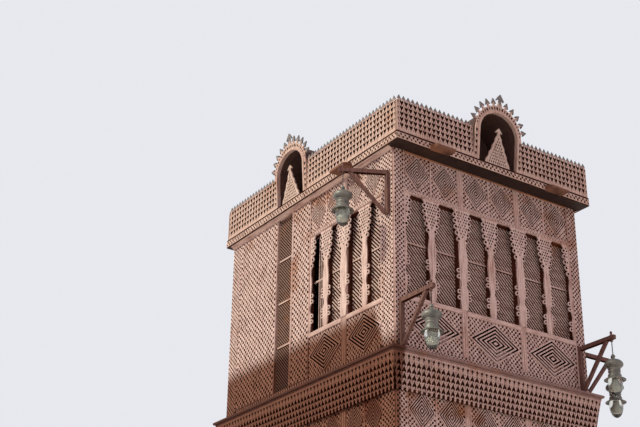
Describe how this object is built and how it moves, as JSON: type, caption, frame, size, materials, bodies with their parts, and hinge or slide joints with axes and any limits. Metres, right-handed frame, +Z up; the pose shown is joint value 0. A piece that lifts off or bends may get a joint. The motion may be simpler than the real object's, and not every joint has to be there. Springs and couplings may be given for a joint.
{
  "type": "corner tower of timber lattice screens",
  "caption": "Free-standing corner tower of carved timber lattice bays on a low plinth, with a pierced skirt, parapet, arch hoods and hanging lanterns.",
  "frame": {"origin": "centre of the plinth's underside, on the ground", "axes": "+Z up, the front with three bays faces -Y, the side with the open windows faces -X"},
  "size_m": [7.1848, 7.7245, 11.5175],
  "materials": {
    "plinth_stone": "lime-washed coral stone",
    "ledge_timber": "weathered teak moulding",
    "frame_timber": "weathered teak",
    "floor_timber": "plain boards",
    "soffit_timber": "dark weathered boards",
    "fascia_timber": "carved weathered teak",
    "arch_timber": "weathered teak",
    "hood_timber": "dark weathered boards",
    "gable_timber": "pierced weathered teak",
    "bracket_timber": "dark stained timber",
    "skirt_timber": "pierced weathered teak",
    "parapet_timber": "pierced weathered teak",
    "post_timber": "carved weathered teak",
    "rail_timber": "weathered teak",
    "panel_timber": "carved weathered teak",
    "fretwork_timber": "pierced weathered teak",
    "lattice_timber": "thin weathered laths",
    "lantern_metal": "weathered grey-green paint",
    "lantern_glass": "clear blown glass",
    "bulb_glass": "frosted"
  },
  "bodies": {
    "root": {"arch_gables": "gable_timber", "arch_hoods": "hood_timber", "arch_rings": "arch_timber", "base_ledge": "ledge_timber", "beam_ends": "bracket_timber", "fascia": "fascia_timber", "floor_band": "frame_timber", "hood_backs": "hood_timber", "lamp_brackets": "bracket_timber", "lantern_bulbs": "bulb_glass", "lantern_chains": "lantern_metal", "lantern_glasses": "lantern_glass", "lantern_heads": "lantern_metal", "lower_base_panels": "panel_timber", "lower_bay_posts": "post_timber", "lower_corner_posts": "post_timber", "lower_fretwork": "fretwork_timber", "lower_head_panels": "panel_timber", "lower_lattice_back": "lattice_timber", "lower_lattice_front": "lattice_timber", "lower_lattice_left": "lattice_timber", "lower_lattice_right": "lattice_timber", "lower_rails": "rail_timber", "parapet_back": "parapet_timber", "parapet_front": "parapet_timber", "parapet_left": "parapet_timber", "parapet_right": "parapet_timber", "plinth": "plinth_stone", "roof_deck": "soffit_timber", "skirt_back": "skirt_timber", "skirt_front": "skirt_timber", "skirt_left": "skirt_timber", "skirt_right": "skirt_timber", "upper_base_panels": "panel_timber", "upper_bay_posts": "post_timber", "upper_corner_posts": "post_timber", "upper_floor": "floor_timber", "upper_fretwork": "fretwork_timber", "upper_head_panels": "panel_timber", "upper_lattice_back": "lattice_timber", "upper_lattice_front": "lattice_timber", "upper_lattice_left": "lattice_timber", "upper_lattice_right": "lattice_timber", "upper_ledge": "ledge_timber", "upper_rails": "rail_timber"}
  },
  "joints": []
}
